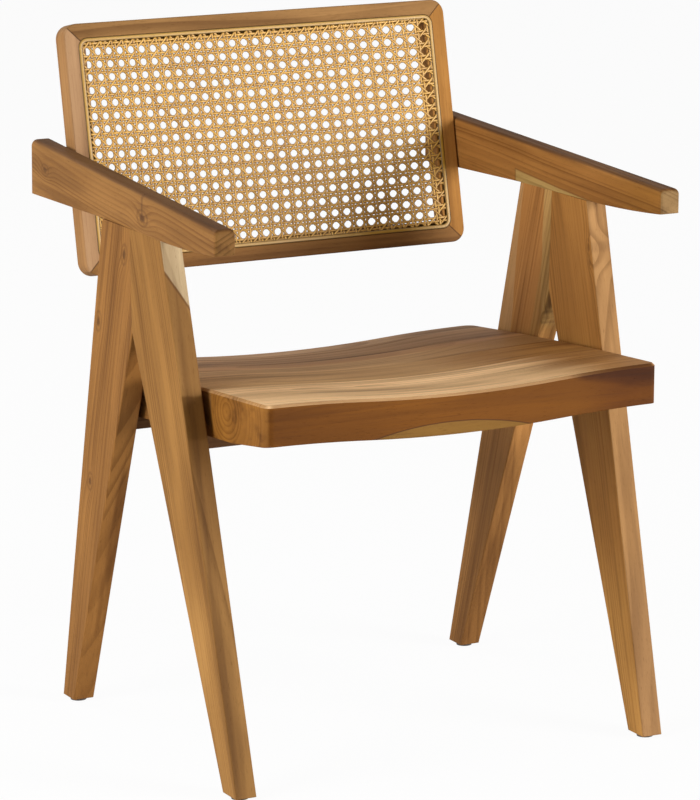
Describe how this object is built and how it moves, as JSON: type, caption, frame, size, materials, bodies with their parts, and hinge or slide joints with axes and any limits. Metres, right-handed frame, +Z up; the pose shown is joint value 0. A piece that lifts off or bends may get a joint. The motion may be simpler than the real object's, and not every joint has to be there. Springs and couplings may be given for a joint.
{
  "type": "lounge chair",
  "caption": "Low wooden armchair with splayed V legs, plank arms, a dished solid seat and a framed cane back.",
  "frame": {"origin": "on the floor below the centre of the chair's outline", "axes": "+X to the right seen from the front, +Y from the front to the back, +Z up"},
  "size_m": [0.5866, 0.5616, 0.7997],
  "materials": {
    "side_wood": "oiled brown hardwood, satin",
    "arm_wood": "oiled brown hardwood, satin",
    "rail_wood": "dark oiled hardwood, matt",
    "seat_wood": "oiled brown hardwood with dark streaks, satin",
    "back_wood": "oiled brown hardwood, satin",
    "cane": "natural golden cane, satin",
    "cane_spline": "natural golden reed, satin",
    "joinery_wood": "plain pale hardwood",
    "glide": "dark brown, matt",
    "screw_steel": "plain zinc"
  },
  "bodies": {
    "root": {"left_front_leg": "side_wood", "left_rear_leg": "side_wood", "right_front_leg": "side_wood", "right_rear_leg": "side_wood", "left_arm": "arm_wood", "right_arm": "arm_wood", "front_seat_rail": "rail_wood", "rear_seat_rail": "rail_wood", "seat_front_board": "seat_wood", "seat_second_board": "seat_wood", "seat_third_board": "seat_wood", "seat_rear_board": "seat_wood", "back_left_stile": "back_wood", "back_right_stile": "back_wood", "back_top_rail": "back_wood", "back_bottom_rail": "back_wood", "cane_panel": "cane", "cane_spline": "cane_spline", "back_corner_tongues": "joinery_wood", "seat_tongues": "joinery_wood", "arm_leg_tenons": "joinery_wood", "leg_seam_tenons": "joinery_wood", "arm_back_tenons": "joinery_wood", "foot_glides": "glide", "seat_screws": "screw_steel"}
  },
  "joints": []
}
